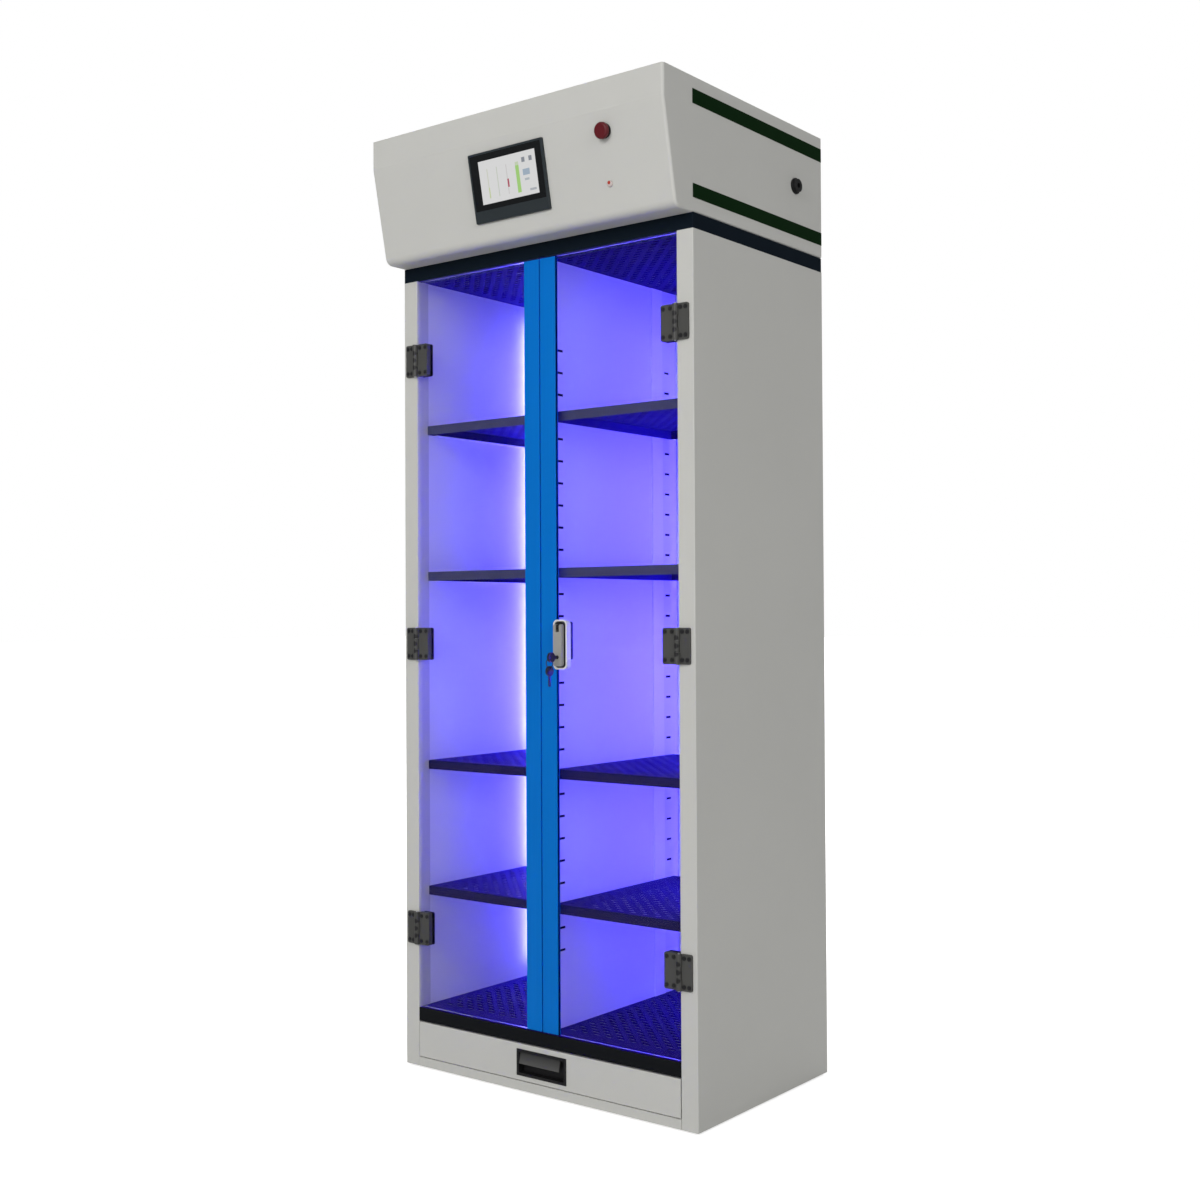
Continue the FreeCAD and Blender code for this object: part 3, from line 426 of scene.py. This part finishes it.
coated("stop red", (0.12, 0.003, 0.008), 500.0, 0.12, (0.45, 0.3), 0.00003, shine=0.35)
dress("stop red", "stop_button")
tree, shader, lens = coated("status lens", (0.50, 0.07, 0.05), 500.0, 0.12, (0.3, 0.2), shine=0.4)
_, x_place, _, z_place = places(tree)
led_low, led_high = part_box("status_led")
led_radius = 0.0065
lens_radius = 0.0034
aside = math_node(tree, "SUBTRACT", x_place, (led_low.x + led_high.x) / 2)
above = math_node(tree, "SUBTRACT", z_place, led_high.z - led_radius)
bezel = past(tree, distance(tree, aside, above), lens_radius, 0.0004)
tree.links.new(mixed(tree, bezel, lens, (0.58, 0.50, 0.48, 1.0)), shader.inputs["Base Color"])
dress("status lens", "status_led")
coated("black nylon", (0.012, 0.012, 0.013), 500.0, 0.15, (0.6, 0.45), 0.00006, shine=0.3)
dress("black nylon", "stop_button_base", "cable_gland")


# ---- Doors -------------------------------------------------------------------------------------
# Clear toughened panes, each held at its free edge in a blue channel. The channel's satin finish
# has faint paler streaks along its length, painted as streaky reflection.

tree, shader = blank("clear pane")
wiped = mottle(tree, places(tree)[0], 3.0, 6.0)
tree.links.new(spread(tree, wiped, 0.0, 0.02), shader.inputs["Roughness"])
shader.inputs["Base Color"].default_value = (0.985, 0.99, 1.0, 1.0)
shader.inputs["IOR"].default_value = 1.12
shader.inputs["Specular IOR Level"].default_value = 0.3
shader.inputs["Transmission Weight"].default_value = 1.0
dress("clear pane", "left_door_glass", "right_door_glass")

BLUE = (0.0, 0.165, 0.61)
tree, shader, blue = coated("blue channel coat", BLUE, 800.0, 0.05, (0.5, 0.38), 0.00003, 0.08)
stretched = tree.nodes.new("ShaderNodeMapping")
stretched.inputs["Scale"].default_value = (1.0, 1.0, 0.01)
tree.links.new(places(tree)[0], stretched.inputs["Vector"])
# Faint paler streaks along the channel are painted reflection.
reflection_streaks = spread(tree, mottle(tree, stretched.outputs[0], 260.0, 3.0), 0.0, 0.25)
tree.links.new(mixed(tree, reflection_streaks, blue, (0.0, 0.21, 0.70, 1.0)), shader.inputs["Base Color"])
dress("blue channel coat", "left_door_stile", "right_door_stile")


# ---- Hinges ------------------------------------------------------------------------------------
# Three lift-off pairs a side, cast and coated black grey. Each leaf has pan-head screws, whose
# sockets are painted dark as shade, and the knuckles have oil holes, painted as dark spots of shade
# along the pin.

CAST = (0.070, 0.070, 0.066)
tree, shader, black = coated("hinge black", CAST, 350.0, 0.25, (0.55, 0.4), 0.0001, 0.4)
_, x_place, _, z_place = places(tree)
leaf_low, leaf_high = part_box("hinge_leaves_frame")
half_leaf = 0.036
pin_radius = 0.0025
lowest, highest = leaf_low.z + half_leaf, leaf_high.z - half_leaf
pin_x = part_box("hinge_pins")[1].x - pin_radius
out = math_node(tree, "SUBTRACT", math_node(tree, "ABSOLUTE", x_place), pin_x)
steps = [math_node(tree, "ABSOLUTE", math_node(tree, "SUBTRACT", z_place, level))
         for level in (lowest, (lowest + highest) / 2, highest)]
rise = math_node(tree, "MINIMUM", math_node(tree, "MINIMUM", steps[0], steps[1]), steps[2])
# The screw sockets and the oil holes are discs painted near black as shade.
screws = [(0.024, 0.028), (0.012, 0.028), (-0.013, 0.028), (-0.030, 0.028)]
oil_holes = [(0.0, 0.0), (0.0, 0.016)]
painted_hole_shade = 0.0
for spots, radius in ((screws, 0.0050), (oil_holes, 0.0058)):
    for spot_out, spot_up in spots:
        aside = math_node(tree, "SUBTRACT", out, spot_out)
        above = math_node(tree, "SUBTRACT", rise, spot_up)
        disc = short_of(tree, distance(tree, aside, above), radius * 0.75, radius * 0.35)
        painted_hole_shade = math_node(tree, "MAXIMUM", painted_hole_shade, disc)
tree.links.new(mixed(tree, painted_hole_shade, black, (0.006, 0.006, 0.008, 1.0)), shader.inputs["Base Color"])
dress("hinge black", "hinge_leaves_frame", "left_door_hinges", "right_door_hinges")


# ---- Swing handle ------------------------------------------------------------------------------
# A dished cast plate, plated bright, with a satin lever and a cam. Its cup behind the glass and the
# floor of its dish are painted dark as shade.
# A black-headed key stands in the lever, and its spare hangs from it on a ring.

PLATED = (0.84, 0.84, 0.83)
tree, shader, plating = coated("bright plate", PLATED, 200.0, 0.05, (0.35, 0.25), 0.00002, metal=0.1)
_, x_place, y_place, z_place = places(tree)
plate_low, plate_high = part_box("handle_plate")
glass_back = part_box("right_door_glass")[1].y
# The cup behind the glass is painted near black as shade.
cup_shade = all_of(
    tree,
    past(tree, y_place, glass_back - 0.0005, 0.0004),
    short_of(tree, y_place, plate_high.y - 0.0014, 0.0004))
with_cup_shade = mixed(tree, cup_shade, plating, (0.006, 0.005, 0.030, 1.0))
rim = 0.0033
step = 0.0002
across = from_middle(tree, x_place, plate_low.x, plate_high.x)
# The floor of the dish, around the lever, is painted dark grey as shade.
well_shade = all_of(
    tree,
    short_of(tree, across, (plate_high.x - plate_low.x) / 2 - rim, step),
    past(tree, y_place, plate_low.y + 0.0022, 0.0006),
    short_of(tree, y_place, plate_low.y + 0.0100, 0.0010),
    past(tree, z_place, plate_low.z + rim - step, step),
    short_of(tree, z_place, plate_high.z - rim, step))
tree.links.new(mixed(tree, well_shade, with_cup_shade, (0.05, 0.05, 0.055, 1.0)), shader.inputs["Base Color"])
dress("bright plate", "handle_plate")
coated("blackened spindle", (0.015, 0.015, 0.018), 300.0, 0.1, (0.4, 0.3), 0.00002, metal=0.3)
dress("blackened spindle", "handle_spindle")
coated("satin lever", (0.40, 0.40, 0.375), 300.0, 0.06, (0.4, 0.3), 0.00002, metal=0.2)
dress("satin lever", "handle_lever")
tree, shader, head = coated("key", (0.012, 0.012, 0.014), 300.0, 0.2, (0.5, 0.35), shine=0.4)
_, x_place, _, z_place = places(tree)
key_low, key_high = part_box("lock_key")
thin = short_of(tree, from_middle(tree, x_place, key_low.x, key_high.x), 0.0011, 0.0002)
under_head = short_of(tree, z_place, key_low.z + 0.022, 0.001)
blade = all_of(tree, thin, under_head)
tree.links.new(mixed(tree, blade, head, (0.07, 0.09, 0.14, 1.0)), shader.inputs["Base Color"])
tree.links.new(blade, shader.inputs["Metallic"])
dress("key", "lock_key")


# ---- Drawer ------------------------------------------------------------------------------------
# A coated front with a black moulded pull clipped into it: a hollow for the fingers, under a
# sloping grey grip that is painted paler towards its lower edge as a highlight.

dress("warm grey coat", "drawer_front")
MOULDED = (0.008, 0.008, 0.009)
tree, shader, hollow = coated("pull plastic", MOULDED, 500.0, 0.15, (0.6, 0.45), 0.00005, 0.3)
_, x_place, y_place, z_place = places(tree)
pull_low, pull_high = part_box("drawer_pull")
grip = all_of(
    tree,
    short_of(tree, math_node(tree, "ABSOLUTE", x_place), 0.0612, 0.0004),
    past(tree, z_place, pull_low.z + 0.0230, 0.0010),
    short_of(tree, z_place, pull_high.z - 0.0064, 0.0004),
    short_of(tree, y_place, pull_low.y + 0.0115))
# The grip is painted paler towards its lower edge, as a highlight where it leans out to the light.
painted_highlight_low = short_of(tree, z_place, pull_low.z + 0.0240, 0.0240)
grip_colour_and_highlight = mixed(tree, painted_highlight_low, (0.035, 0.035, 0.035, 1.0), (0.095, 0.095, 0.092, 1.0))
tree.links.new(mixed(tree, grip, hollow, grip_colour_and_highlight), shader.inputs["Base Color"])
dress("pull plastic", "drawer_pull")


# ---- Set ---------------------------------------------------------------------------------------
# A pale seamless floor, a white surround, and three large soft lights: in front, right and behind.
# Seen directly, the floor and the surround shine white; they light the cabinet far less.

reach = 60.0
corners = [(-reach, -reach, 0.0), (reach, -reach, 0.0), (reach, reach, 0.0), (-reach, reach, 0.0)]
floor_mesh = bpy.data.meshes.new("floor")
floor_mesh.from_pydata(corners, [], [(0, 1, 2, 3)])
floor = bpy.data.objects.new("floor", floor_mesh)
bpy.context.scene.collection.objects.link(floor)
tree, shader, _ = coated("pale floor", (0.82, 0.82, 0.82), 40.0, 0.01, (0.7, 0.6), shine=0.1)
length = tree.nodes.new("ShaderNodeVectorMath")
length.operation = "LENGTH"
tree.links.new(places(tree)[0], length.inputs[0])
# The glow is weaker near the cabinet, where its soft shadow shows around the feet.
glow = spread(tree, length.outputs["Value"], 0.7, 1.2, 0.55, 2.4)


def seen_directly(tree, limit):
    """One for a ray that has met nothing but clear panes since it left the camera, else zero."""
    path = tree.nodes.new("ShaderNodeLightPath").outputs
    other_bounces = math_node(tree, "SUBTRACT", path["Ray Depth"], path["Transmission Depth"])
    return math_node(tree, "LESS_THAN", other_bounces, limit)


seen = seen_directly(tree, 0.5)
shader.inputs["Emission Color"].default_value = (1.0, 1.0, 1.0, 1.0)
tree.links.new(math_node(tree, "MULTIPLY", glow, seen), shader.inputs["Emission Strength"])
floor_mesh.materials.append(bpy.data.materials["pale floor"])

lamp("front softbox", 326.0, (1.0, 0.995, 0.98), (1.0, -8.0, 4.0), (0.0, 0.0, 1.0), 4.0, 4.0)
lamp("right softbox", 118.0, (1.0, 1.0, 1.0), (7.0, -3.0, 3.5), (0.4, 0.0, 1.0), 3.0, 3.0)
lamp("rear softbox", 230.0, (1.0, 1.0, 1.0), (-3.5, 6.5, 4.5), (0.0, 0.3, 1.0), 4.0, 4.0)

# A ray that reaches the surround counts one bounce more than one that meets the floor.
surround_light = 0.26
world = bpy.data.worlds.new("studio")
bpy.context.scene.world = world
world.use_nodes = True
sky = world.node_tree
backdrop = sky.nodes["Background"]
backdrop.inputs["Color"].default_value = (1.0, 1.0, 1.0, 1.0)
strength = spread(sky, seen_directly(sky, 1.5), surround_light, 1.0, 0.0, 1.0)
sky.links.new(strength, backdrop.inputs["Strength"])
bpy.context.scene.view_settings.view_transform = "Standard"

camera_data = bpy.data.cameras.new("camera")
camera_data.sensor_width = 36.0
camera_data.lens = 45.38
camera_data.shift_x = -0.0184
camera_data.shift_y = -0.0045
camera_data.clip_end = 200.0
camera = bpy.data.objects.new("camera", camera_data)
camera.location = (2.0813, -2.6311, 1.0082)
camera.rotation_mode = "XYZ"
camera.rotation_euler = (math.radians(90.86), math.radians(0.3), math.radians(37.45))
bpy.context.scene.collection.objects.link(camera)
bpy.context.scene.camera = camera
